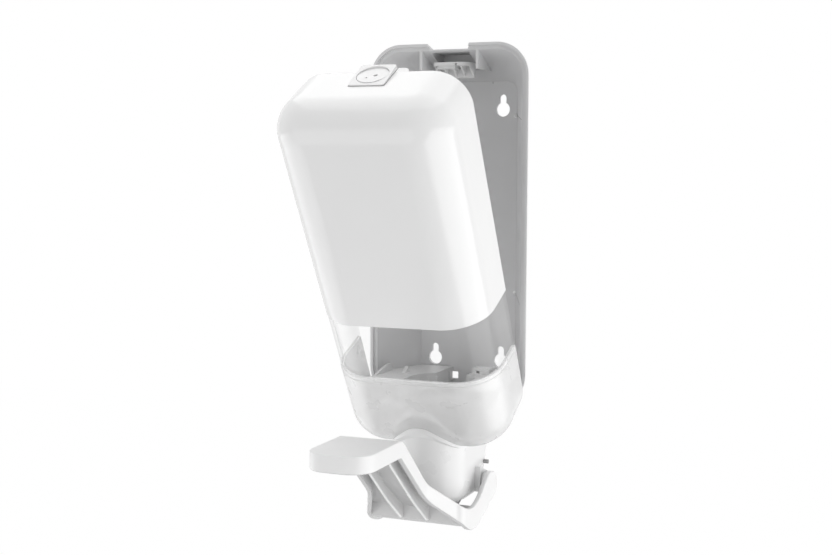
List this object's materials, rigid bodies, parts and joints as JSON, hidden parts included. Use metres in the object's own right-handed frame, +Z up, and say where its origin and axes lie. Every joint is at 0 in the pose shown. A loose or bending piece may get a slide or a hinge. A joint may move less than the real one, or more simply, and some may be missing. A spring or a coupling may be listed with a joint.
{
  "type": "wall soap dispenser",
  "caption": "Wall dispenser for liquid soap with a long arm lever below, shown with its hinged white cover swung open from the back housing.",
  "frame": {"origin": "on the wall plane, in the middle of the four mounting keyholes", "axes": "+X to the right seen from the front, +Y into the wall, +Z up"},
  "size_m": [0.112, 0.221, 0.3155],
  "materials": {
    "housing_plastic": "satin moulded grain",
    "cover_plastic": "polished white",
    "clear_plastic": "clear",
    "frosted_plastic": "frosted translucent",
    "lever_plastic": "satin white",
    "inner_plastic": "satin",
    "lock_plastic": "satin grey",
    "pin_steel": "bright drawn"
  },
  "bodies": {
    "housing": {"back_housing": "housing_plastic", "lock_catch": "inner_plastic", "bottle_shelf": "inner_plastic", "hinge_pins": "pin_steel"},
    "cover": {"cover_shell": "cover_plastic", "window_band": "clear_plastic", "lower_shell": "frosted_plastic", "hinge_brackets": "inner_plastic", "spout_housing": "lever_plastic", "outlet_collar": "inner_plastic", "lever_pins": "pin_steel", "lever_springs": "pin_steel", "lock_plate": "lock_plastic", "lock_ring": "inner_plastic", "latch_guide": "inner_plastic", "latch_springs": "pin_steel"},
    "lever": {"lever": "lever_plastic"},
    "pusher": {"pump_pusher": "inner_plastic"},
    "lock": {"lock_barrel": "lock_plastic", "lock_cam": "inner_plastic"},
    "latch": {"latch_hook": "inner_plastic"}
  },
  "joints": [
    {"name": "cover_hinge", "type": "hinge", "parent": "housing", "child": "cover", "pos_m": [0, -0.0516, -0.10585], "axis": [1, 0, 0], "range_deg": [-28.9, 0]},
    {"name": "lever_hinge", "type": "hinge", "parent": "cover", "child": "lever", "pos_m": [0, -0.0485, -0.1625], "axis": [1, 0, 0], "range_deg": [-12, 0], "stiffness_Nm_per_rad": 0.25, "springref_deg": 20.05, "deforming": ["lever_springs"]},
    {"name": "pusher_slide", "type": "slide", "parent": "cover", "child": "pusher", "axis": [0, 0, 1], "range_m": [0, 0.0041]},
    {"name": "lock_turn", "type": "hinge", "parent": "cover", "child": "lock", "pos_m": [0, -0.16439, 0.09557], "axis": [0, -0.4833, 0.8755], "range_deg": [0, 90]},
    {"name": "latch_slide", "type": "slide", "parent": "cover", "child": "latch", "axis": [0, -0.4833, 0.8755], "range_m": [-0.0019, 0], "deforming": ["latch_springs"]}
  ],
  "couplings": [
    {"joint": "pusher_slide", "follows": "lever_hinge", "m_per_rad": -0.019},
    {"joint": "latch_slide", "follows": "lock_turn", "m_per_rad": -0.0011459}
  ]
}
